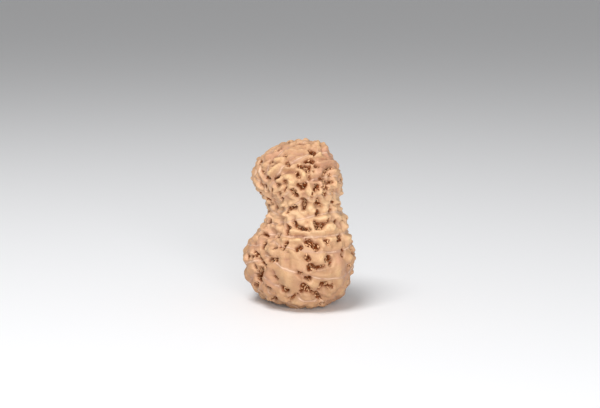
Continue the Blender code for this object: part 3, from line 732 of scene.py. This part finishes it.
# %% Write formulas as nodes
class Tree:
    def __init__(self, tree):
        self.tree = tree

    def add(self, kind, inputs=(), out=0, **settings):
        """One node with its settings; inputs maps a socket's name or number to a value or an output."""
        node = self.tree.nodes.new(kind)
        for key, value in settings.items():
            setattr(node, key, value)
        for key, value in dict(inputs).items():
            if isinstance(value, bpy.types.NodeSocket):
                self.tree.links.new(value, node.inputs[key])
            else:
                node.inputs[key].default_value = value
        return node.outputs[out]

    def math(self, operation, *values):
        return self.add("ShaderNodeMath", dict(enumerate(values)), operation=operation)

    def field(self, name, data_type="FLOAT"):
        kind = "GeometryNodeInputNamedAttribute"
        return self.add(kind, {"Name": name}, data_type=data_type)

    def store(self, geometry, name, value):
        kind = "GeometryNodeStoreNamedAttribute"
        return self.add(kind, {"Geometry": geometry, "Name": name, "Value": value})

    def bell(self, distance, reach):
        """1 at no distance, falling off like a bell within the reach."""
        ratio = self.math("DIVIDE", distance, reach)
        square = self.math("MULTIPLY", ratio, ratio)
        return self.math("EXPONENT", self.math("MULTIPLY", square, -1.0))

    def rounding(self, distance, reach):
        """0 at no distance, rising to 1 with a round shoulder."""
        ratio = self.math("DIVIDE", distance, reach)
        return self.math("SUBTRACT", 1.0, self.math("EXPONENT", self.math("MULTIPLY", ratio, -1.0)))


# %% [markdown]
# ## The relief
#
# A real stone's surface is a raised net: rounded ridges and knobs round dark pits, with a shallow
# valley and a hair-thin line where two faces meet. Each of these is one term of a height, and the
# tree adds the terms and moves every point outwards by the sum. Sculpting could do the same once; the
# tree does it again for any bead, with its sizes as named inputs.

# %% The relief's sizes
RELIEF = {
    "Net height": 0.80 * MM,
    "Net round": 0.24,
    "Lump height": 0.27 * MM,
    "Knob height": 1.00 * MM,
    "Hollow depth": 0.80 * MM,
    "Swelling": 0.50 * MM,
    "Ridge height": 0.42 * MM,
    "Ridge reach": 0.30 * MM,
    "Lip height": 0.16 * MM,
    "Lip place": 0.32 * MM,
    "Lip reach": 0.26 * MM,
    "Ragged": 0.22 * MM,
    "Ragged fine": 0.14 * MM,
    "Pit depth": 1.00 * MM,
    "Pit floor": 0.40 * MM,
    "Pit wall": 0.22 * MM,
    "Valley depth": 0.24 * MM,
    "Valley reach": 0.50 * MM,
    "Valley calm": 0.70,
    "Line height": 0.05 * MM,
    "Line reach": 0.14 * MM,
}


# %% The relief's tree
def relief_tree(material):
    group = bpy.data.node_groups.new("bead_relief", "GeometryNodeTree")
    group.interface.new_socket("Geometry", in_out="INPUT", socket_type="NodeSocketGeometry")
    for name in RELIEF:
        group.interface.new_socket(name, in_out="INPUT", socket_type="NodeSocketFloat")
    group.interface.new_socket("Geometry", in_out="OUTPUT", socket_type="NodeSocketGeometry")
    tree = Tree(group)
    given = group.nodes.new("NodeGroupInput").outputs

    # The sutures, beside which the net is calmer
    gap = tree.field("line_gap")
    valley = tree.bell(gap, given["Valley reach"])
    line = tree.bell(gap, given["Line reach"])
    clear = tree.math("SUBTRACT", 1.0, tree.math("MULTIPLY", valley, given["Valley calm"]))
    lively = tree.math("MULTIPLY", clear, tree.field("lively"))

    # The net: long, round lumps, with creases where the wave changes sign. Half its height is taken off
    # again, so that it swells the stone less.
    wave = tree.math("ABSOLUTE", tree.field("net"))
    net = tree.math("SUBTRACT", tree.rounding(wave, given["Net round"]), 0.5)
    net = tree.math("MULTIPLY", net, given["Net height"])
    lump = tree.math("MULTIPLY", tree.field("lump"), tree.field("broad"))
    lump = tree.math("MULTIPLY", lump, given["Lump height"])
    knob = tree.math("MULTIPLY", tree.math("MULTIPLY", tree.field("knob"), clear), given["Knob height"])
    hollow = tree.math("MULTIPLY", tree.field("hollow"), given["Hollow depth"])
    swell = tree.math("MULTIPLY", tree.field("swell"), given["Swelling"])

    # Ridges round the pits, and the pits themselves
    rim = tree.math("MULTIPLY_ADD", tree.field("ragged"), given["Ragged"], tree.field("pit_gap"))
    rim = tree.math("MULTIPLY_ADD", tree.field("ragged_fine"), given["Ragged fine"], rim)
    outside = tree.math("MAXIMUM", rim, 0.0)
    reach = tree.math("MULTIPLY", given["Ridge reach"], tree.field("broad"))
    ridge = tree.math("MULTIPLY", given["Ridge height"], tree.field("broad"))
    ridge = tree.math("MULTIPLY", tree.rounding(outside, reach), ridge)
    lip = tree.bell(tree.math("SUBTRACT", rim, given["Lip place"]), given["Lip reach"])
    ridge = tree.math("MULTIPLY_ADD", lip, given["Lip height"], ridge)
    inside = tree.math("DIVIDE", tree.math("MULTIPLY", rim, -1.0), given["Pit wall"])
    sunk = tree.add("ShaderNodeMapRange", {"Value": inside}, interpolation_type="SMOOTHSTEP")
    rough = tree.math("MULTIPLY", tree.field("ragged_fine"), given["Pit floor"])
    pit = tree.math("MULTIPLY", sunk, tree.math("ADD", given["Pit depth"], rough))

    height = tree.math("MULTIPLY_ADD", net, lively, lump)
    height = tree.math("ADD", height, tree.math("SUBTRACT", knob, hollow))
    height = tree.math("ADD", height, tree.math("ADD", swell, ridge))
    height = tree.math("SUBTRACT", height, pit)
    height = tree.math("SUBTRACT", height, tree.math("MULTIPLY", valley, given["Valley depth"]))
    height = tree.math("ADD", height, tree.math("MULTIPLY", line, given["Line height"]))
    offset = tree.add(
        "ShaderNodeVectorMath",
        {0: tree.field("outward", "FLOAT_VECTOR"), "Scale": height},
        operation="SCALE",
    )

    geometry = given["Geometry"]
    for name, value in {"rim": rim, "raised": height}.items():
        geometry = tree.store(geometry, name, value)
    geometry = tree.add("GeometryNodeSetPosition", {"Geometry": geometry, "Offset": offset})

    # The lowest ridges are worn down to a small flat foot
    place = tree.add("ShaderNodeSeparateXYZ", {0: tree.add("GeometryNodeInputPosition")}).node.outputs
    floor = tree.math("MAXIMUM", place["Z"], 0.0)
    worn = tree.add("ShaderNodeCombineXYZ", {"X": place["X"], "Y": place["Y"], "Z": floor})
    geometry = tree.add("GeometryNodeSetPosition", {"Geometry": geometry, "Position": worn})
    geometry = tree.add("GeometryNodeRealizeInstances", {"Geometry": geometry})
    geometry = tree.add("GeometryNodeSetMaterial", {"Geometry": geometry, "Material": material})
    group.links.new(geometry, group.nodes.new("NodeGroupOutput").inputs[0])
    return group


def grown(obj, group, values):
    """Run the tree on the object, and keep the result as its plain mesh."""
    modifier = obj.modifiers.new(group.name, "NODES")
    modifier.node_group = group
    for item in group.interface.items_tree:
        if item.name in values:
            modifier[item.identifier] = values[item.name]
    graph = bpy.context.evaluated_depsgraph_get()
    obj.data = bpy.data.meshes.new_from_object(obj.evaluated_get(graph))
    obj.modifiers.clear()


# %% [markdown]
# ## The bark
#
# The stone's skin is tan wood, smooth and a little shiny where hands and water have polished the
# ridges, and the pits hold dark, fibrous remains of the fruit. Part of the colour is painted light and
# shade: the paler yellow of the ridge tops and the pale lip round each pit are painted highlight, the
# paler band at the waist is painted light, and the darker foot and the mauve of the low places, the
# furrows and the edges of the suture lines are painted shade.
# Most of it follows attributes that the mesh carries, so colour and shape agree from any side. The
# patches are noise on the object's own coordinates, which leaves no seam.

# %% The bark's colours
RIDGE_TAN = (0.55, 0.315, 0.170, 1.0)
# Painted highlight: the paler yellow laid on the ridge tops
RIDGE_PAINTED_HIGHLIGHT = (0.73, 0.47, 0.245, 1.0)
RIDGE_PINK = (0.57, 0.30, 0.185, 1.0)
# Painted shade: the darker mauve of the low places and the furrows
HOLLOW_PAINTED_SHADE = (0.40, 0.195, 0.125, 1.0)
# Painted highlight: the pale lip round each pit
LIP_PAINTED_HIGHLIGHT = (0.74, 0.46, 0.27, 1.0)
RIM_BROWN = (0.34, 0.125, 0.048, 1.0)
PIT_BROWN = (0.20, 0.052, 0.014, 1.0)
FINE_BROWN = (0.46, 0.225, 0.105, 1.0)
# Painted light: the paler band at the waist
WAIST_PAINTED_LIGHT = (0.82, 0.55, 0.32, 1.0)
# Painted shade: darker towards the foot
FOOT_PAINTED_SHADE = (0.38, 0.20, 0.10, 1.0)
LINE_PALE = (0.70, 0.475, 0.325, 1.0)
# Painted shade: the mauve on either side of each suture line
LINE_PAINTED_SHADE = (0.46, 0.27, 0.20, 1.0)

# %% Where its colours start and where they are whole
# Level and reach of the painted light at the waist, where the suture lines are also whole
PALE_LEVEL = 19 * MM
PALE_REACH = 4.5 * MM
# Levels between which the painted shade at the foot grows
FOOT_SHADE_LEVELS = (16 * MM, 1 * MM)
# Heights over which the painted highlight on the ridge tops comes in
HIGHLIGHT_HEIGHTS = (0.50 * MM, 1.10 * MM)
# Heights over which the painted shade of the low places comes in
LOW_SHADE_HEIGHTS = (0.25 * MM, -0.25 * MM)
LINE_SHADE_GAPS = (0.40 * MM, 0.10 * MM)
LINE_GAPS = (0.14 * MM, 0.07 * MM)
# Gaps over which the painted highlight on the pits' lips comes in
LIP_GAPS = (0.38 * MM, 0.16 * MM)
RIM_GAPS = (0.02 * MM, -0.08 * MM)
DARK_GAPS = (-0.07 * MM, -0.18 * MM)

# %% Sizes of its patches and specks, and the range of noise over which each comes in
YELLOW_PATCHES = (3.5 * MM, 0.28, 0.55)
PINK_PATCHES = (5.1 * MM, 0.50, 0.70)
FINE_SPECKS = (0.28 * MM, 0.47, 0.68)
# Patches of the painted shade along the furrows
FURROW_SHADE_PATCHES = (1.1 * MM, 0.40, 0.60)
LINE_BREAKS = (1.6 * MM, 0.42, 0.54)
WORN_PATCHES = (0.6 * MM, 0.3, 0.7)
RIM_SPECKS = 0.25 * MM
RIM_RAGGED = 0.35 * MM
GRAIN_SPECKS = 0.35 * MM
GRAIN_DEPTH = 0.08 * MM
GRAIN_STRENGTH = 0.7
NOISE_DETAIL = 3.0

# %% How strongly each colour covers the one below it
FINE_SHARE = 0.42
# Share of the painted light at the waist
WAIST_LIGHT_SHARE = 0.62
# Share of the painted shade at the foot
FOOT_SHADE_SHARE = 0.6
# Share of the painted shade in the low places
LOW_SHADE_SHARE = 0.7
# Share of the painted shade along the furrows
FURROW_SHADE_SHARE = 0.45
LINE_SHADE_SHARE = 0.45
LINE_SHARE = 0.85
# Share of the painted highlight on the pits' lips
LIP_HIGHLIGHT_SHARE = 0.35
RIM_SHARE = 0.8
SKIN_ROUGHNESS = 0.40
WORN_ROUGHNESS = 0.18  # more where the skin is worn in patches
PIT_ROUGHNESS = 0.3  # and more again in the pits
SKIN_SHINE = 0.35
PIT_SHINE = -0.30  # and less in the pits


# %% The bark's nodes
def bark_material():
    material = bpy.data.materials.new("bark")
    material.use_nodes = True
    tree = Tree(material.node_tree)
    shader = material.node_tree.nodes["Principled BSDF"]
    where = tree.add("ShaderNodeTexCoord").node.outputs["Object"]

    def stored(name):
        return tree.add("ShaderNodeAttribute", attribute_name=name).node.outputs["Fac"]

    def mixed(share, first, second):
        return tree.add("ShaderNodeMix", {"Factor": share, 6: first, 7: second}, 2, data_type="RGBA")

    def covered(colour, place, share, cover):
        """Another colour over this one, at a place and with a share."""
        return mixed(tree.math("MULTIPLY", place, share), colour, cover)

    def spread(value, low, high):
        """0 at the first value, 1 at the second, and smooth between them."""
        inputs = {"Value": value, "From Min": low, "From Max": high}
        return tree.add("ShaderNodeMapRange", inputs, interpolation_type="SMOOTHSTEP")

    def speckle(size):
        inputs = {"Vector": where, "Scale": 1 / size, "Detail": NOISE_DETAIL}
        return tree.add("ShaderNodeTexNoise", inputs)

    def patches(size, low, high):
        return spread(speckle(size), low, high)

    # Tan wood in patches; painted highlight on the raised tops, painted light at the waist, and
    # painted shade at the foot, in the low places and along the furrows
    top = spread(stored("raised"), *HIGHLIGHT_HEIGHTS)
    # Painted highlight: yellow on the raised tops, in patches
    painted_highlight = tree.math("MULTIPLY", top, patches(*YELLOW_PATCHES))
    colour = mixed(painted_highlight, RIDGE_TAN, RIDGE_PAINTED_HIGHLIGHT)
    colour = mixed(patches(*PINK_PATCHES), colour, RIDGE_PINK)
    colour = covered(colour, patches(*FINE_SPECKS), FINE_SHARE, FINE_BROWN)
    level = tree.add("ShaderNodeSeparateXYZ", {0: where}).node.outputs["Z"]
    waist = tree.bell(tree.math("SUBTRACT", level, PALE_LEVEL), PALE_REACH)
    # Painted light: a paler band at the waist
    colour = covered(colour, waist, WAIST_LIGHT_SHARE, WAIST_PAINTED_LIGHT)
    # Painted shade: darker towards the foot
    colour = covered(colour, spread(level, *FOOT_SHADE_LEVELS), FOOT_SHADE_SHARE, FOOT_PAINTED_SHADE)
    # Painted shade: mauve in the low places
    colour = covered(colour, spread(stored("raised"), *LOW_SHADE_HEIGHTS), LOW_SHADE_SHARE, HOLLOW_PAINTED_SHADE)
    # Painted shade: mauve in patches along the furrows
    furrow_shade = tree.math("MULTIPLY", stored("furrow"), patches(*FURROW_SHADE_PATCHES))
    colour = covered(colour, furrow_shade, FURROW_SHADE_SHARE, HOLLOW_PAINTED_SHADE)

    # Suture lines, whole at the waist and broken here and there elsewhere, with painted shade in
    # mauve on either side
    broken = tree.math("MAXIMUM", patches(*LINE_BREAKS), waist)
    gap = stored("line_gap")
    # Painted shade: mauve on either side of each line
    colour = covered(colour, spread(gap, *LINE_SHADE_GAPS), LINE_SHADE_SHARE, LINE_PAINTED_SHADE)
    line = tree.math("MULTIPLY", spread(gap, *LINE_GAPS), LINE_SHARE)
    colour = covered(colour, line, broken, LINE_PALE)

    # Pits, with a painted highlight in pale on the lip round them, and a brown rim
    colour = covered(colour, spread(stored("rim"), *LIP_GAPS), LIP_HIGHLIGHT_SHARE, LIP_PAINTED_HIGHLIGHT)
    uneven = tree.math("SUBTRACT", speckle(RIM_SPECKS), 0.5)
    ragged = tree.math("MULTIPLY_ADD", uneven, RIM_RAGGED, stored("rim"))
    colour = covered(colour, spread(ragged, *RIM_GAPS), RIM_SHARE, RIM_BROWN)
    dark = spread(ragged, *DARK_GAPS)
    colour = mixed(dark, colour, PIT_BROWN)
    material.node_tree.links.new(colour, shader.inputs["Base Color"])

    rough = tree.math("MULTIPLY_ADD", patches(*WORN_PATCHES), WORN_ROUGHNESS, SKIN_ROUGHNESS)
    rough = tree.math("ADD", rough, tree.math("MULTIPLY", dark, PIT_ROUGHNESS))
    material.node_tree.links.new(rough, shader.inputs["Roughness"])
    shine = tree.math("MULTIPLY_ADD", dark, PIT_SHINE, SKIN_SHINE)
    material.node_tree.links.new(shine, shader.inputs["Specular IOR Level"])
    bump = {"Strength": GRAIN_STRENGTH, "Distance": GRAIN_DEPTH, "Height": speckle(GRAIN_SPECKS)}
    material.node_tree.links.new(tree.add("ShaderNodeBump", bump), shader.inputs["Normal"])
    return material


# %% Raise the relief
bark = bark_material()
grown(stone, relief_tree(bark), RELIEF)
made = (Vector(stone.bound_box[0]) + Vector(stone.bound_box[6])) / 2
wanted = (lowest + highest) / 2
stone.data.transform(Matrix.Translation((wanted.x - made.x, wanted.y - made.y, 0)))
stone.data.shade_smooth()
print(f"the relief has {len(stone.data.vertices)} points")
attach(stone, "root")
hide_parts("rudraksha_bead")

# %% [markdown]
# ## Fibres in the pits
#
# Washing never quite empties the pits: short, stiff fibres of the dried fruit stay in them. A second
# tree scatters points inside the pits only, puts a small bent fibre on each, turns and sizes it by a
# seeded draw, and gives it a shade between straw and brown.

# %% The fibres' sizes
FIBRES = {
    "Per square metre": 4.5e6,
    "Length": 0.55 * MM,
    "Thickness": 0.19 * MM,
    "Inside rim": -0.08 * MM,
    "Above floor": 1.2 * MM,
    "Seed": 7,
}
FIBRE_BEND = 1.4  # height of the arch's middle handle, as a share of the length
FIBRE_LEANS = ((-0.7, -0.7, 0.0), (0.7, 0.7, 2 * math.pi))  # range of their turns
FIBRE_SIZES = ((0.4, 0.5, 0.5), (1.2, 1.3, 1.3))  # range of their scales
STRAW = (0.86, 0.54, 0.30, 1.0)
FIBRE_BROWN = (0.26, 0.075, 0.022, 1.0)
STRAW_FROM = 0.45
STRAW_WHOLLY = 0.65
FIBRE_ROUGHNESS = 0.7
FIBRE_SHINE = 0.1


# %% The fibres' tree
def fibre_tree(material):
    group = bpy.data.node_groups.new("pit_fibres", "GeometryNodeTree")
    group.interface.new_socket("Geometry", in_out="INPUT", socket_type="NodeSocketGeometry")
    for name in FIBRES:
        kind = "NodeSocketInt" if name == "Seed" else "NodeSocketFloat"
        group.interface.new_socket(name, in_out="INPUT", socket_type=kind)
    group.interface.new_socket("Geometry", in_out="OUTPUT", socket_type="NodeSocketGeometry")
    tree = Tree(group)
    given = group.nodes.new("NodeGroupInput").outputs

    def drawn(low, high, step, data_type="FLOAT"):
        """A seeded draw between two values for every fibre."""
        seed = tree.math("ADD", given["Seed"], step)
        first = {"FLOAT": 2, "FLOAT_VECTOR": 0}[data_type]
        inputs = {first: low, first + 1: high, "Seed": seed}
        out = {"FLOAT": 1, "FLOAT_VECTOR": 0}[data_type]
        return tree.add("FunctionNodeRandomValue", inputs, out, data_type=data_type)

    def compared(operation, value, limit):
        return tree.add("FunctionNodeCompare", {0: value, 1: limit}, operation=operation)

    # Only inside the pits, and clear of the floor that the bead stands on
    inside = compared("LESS_THAN", tree.field("rim"), given["Inside rim"])
    place = tree.add("ShaderNodeSeparateXYZ", {0: tree.add("GeometryNodeInputPosition")}).node.outputs
    clear = compared("GREATER_THAN", place["Z"], given["Above floor"])
    inside = tree.add("FunctionNodeBooleanMath", {0: inside, 1: clear}, operation="AND")
    scattered = tree.add(
        "GeometryNodeDistributePointsOnFaces",
        {
            "Mesh": given["Geometry"],
            "Selection": inside,
            "Density": given["Per square metre"],
            "Seed": given["Seed"],
        },
    )
    upright = scattered.node.outputs["Rotation"]
    points = tree.store(scattered, "shade", drawn(0.0, 1.0, 1))

    # One fibre: an arch that stands on the pit's floor
    half = tree.math("MULTIPLY", given["Length"], 0.5)
    bent = tree.math("MULTIPLY", given["Length"], FIBRE_BEND)
    start = tree.add("ShaderNodeCombineXYZ", {"X": tree.math("MULTIPLY", half, -1.0)})
    middle = tree.add("ShaderNodeCombineXYZ", {"Z": bent})
    end = tree.add("ShaderNodeCombineXYZ", {"X": half})
    arch = {"Resolution": 3, "Start": start, "Middle": middle, "End": end}
    curve = tree.add("GeometryNodeCurveQuadraticBezier", arch)
    radius = tree.math("MULTIPLY", given["Thickness"], 0.5)
    section = tree.add("GeometryNodeCurvePrimitiveCircle", {"Resolution": 4, "Radius": radius})
    swept = {"Curve": curve, "Profile Curve": section, "Fill Caps": True}
    fibre = tree.add("GeometryNodeCurveToMesh", swept)

    turned = drawn(*FIBRE_LEANS, 2, "FLOAT_VECTOR")
    sized = drawn(*FIBRE_SIZES, 3, "FLOAT_VECTOR")
    placed = {"Points": points, "Instance": fibre, "Rotation": upright, "Scale": sized}
    fibres = tree.add("GeometryNodeInstanceOnPoints", placed)
    fibres = tree.add("GeometryNodeRotateInstances", {"Instances": fibres, "Rotation": turned})
    fibres = tree.add("GeometryNodeRealizeInstances", {"Geometry": fibres})
    fibres = tree.add("GeometryNodeSetMaterial", {"Geometry": fibres, "Material": material})
    group.links.new(fibres, group.nodes.new("NodeGroupOutput").inputs[0])
    return group


# %% The fibres' material
def fibre_material():
    material = bpy.data.materials.new("fibre")
    material.use_nodes = True
    tree = Tree(material.node_tree)
    shader = material.node_tree.nodes["Principled BSDF"]
    shade = tree.add("ShaderNodeAttribute", attribute_name="shade").node.outputs["Fac"]
    inputs = {"Value": shade, "From Min": STRAW_FROM, "From Max": STRAW_WHOLLY}
    straw = tree.add("ShaderNodeMapRange", inputs)
    colour = tree.add("ShaderNodeMix", {"Factor": straw, 6: FIBRE_BROWN, 7: STRAW}, 2, data_type="RGBA")
    material.node_tree.links.new(colour, shader.inputs["Base Color"])
    shader.inputs["Roughness"].default_value = FIBRE_ROUGHNESS
    shader.inputs["Specular IOR Level"].default_value = FIBRE_SHINE
    return material


# %% Scatter the fibres
fibres = bpy.data.objects.new("pit_fibres", stone.data.copy())
bpy.context.scene.collection.objects.link(fibres)
grown(fibres, fibre_tree(fibre_material()), FIBRES)
print(f"the fibres have {sum(len(face.vertices) - 2 for face in fibres.data.polygons)} triangles")
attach(fibres, "root")

# %% [markdown]
# ## Floor and light
#
# The photograph looks as if it was taken on a white table, under a large soft light from above and in
# front. A large area light and a weaker one from the front stand for it.

# %% Floor
FLOOR_REACH = 3000 * MM
FLOOR_WHITE = (0.93, 0.935, 0.95, 1.0)
FLOOR_ROUGHNESS = 0.6

table = bpy.data.materials.new("floor_white")
table.use_nodes = True
table_shader = table.node_tree.nodes["Principled BSDF"]
table_shader.inputs["Base Color"].default_value = FLOOR_WHITE
table_shader.inputs["Roughness"].default_value = FLOOR_ROUGHNESS

corners = [(x * FLOOR_REACH, y * FLOOR_REACH, 0) for x, y in ((-1, -1), (1, -1), (1, 1), (-1, 1))]
floor_mesh = bpy.data.meshes.new("floor")
floor_mesh.from_pydata(corners, [], [(0, 1, 2, 3)])
floor_mesh.materials.append(table)
floor = bpy.data.objects.new("floor", floor_mesh)
bpy.context.scene.collection.objects.link(floor)


# %% Light
LIGHT_AIM = Vector((0, 0, 16 * MM))
SURROUNDING_LIGHT = 0.33

# Each light's place, size and power
LIGHTS = {
    "key_light": ((-120 * MM, -150 * MM, 430 * MM), 200 * MM, 1.45),
    "fill_light": ((80 * MM, -420 * MM, 120 * MM), 240 * MM, 1.2),
}
for name, (place, size, power) in LIGHTS.items():
    light = bpy.data.objects.new(name, bpy.data.lights.new(name, "AREA"))
    light.data.size = size
    light.data.energy = power
    light.location = place
    light.rotation_euler = (LIGHT_AIM - Vector(place)).to_track_quat("-Z", "Y").to_euler()
    bpy.context.scene.collection.objects.link(light)

world = bpy.data.worlds.new("studio")
bpy.context.scene.world = world
world.use_nodes = True
background = world.node_tree.nodes["Background"]
background.inputs["Color"].default_value = (1, 1, 1, 1)
background.inputs["Strength"].default_value = SURROUNDING_LIGHT
bpy.context.scene.view_settings.view_transform = "Standard"
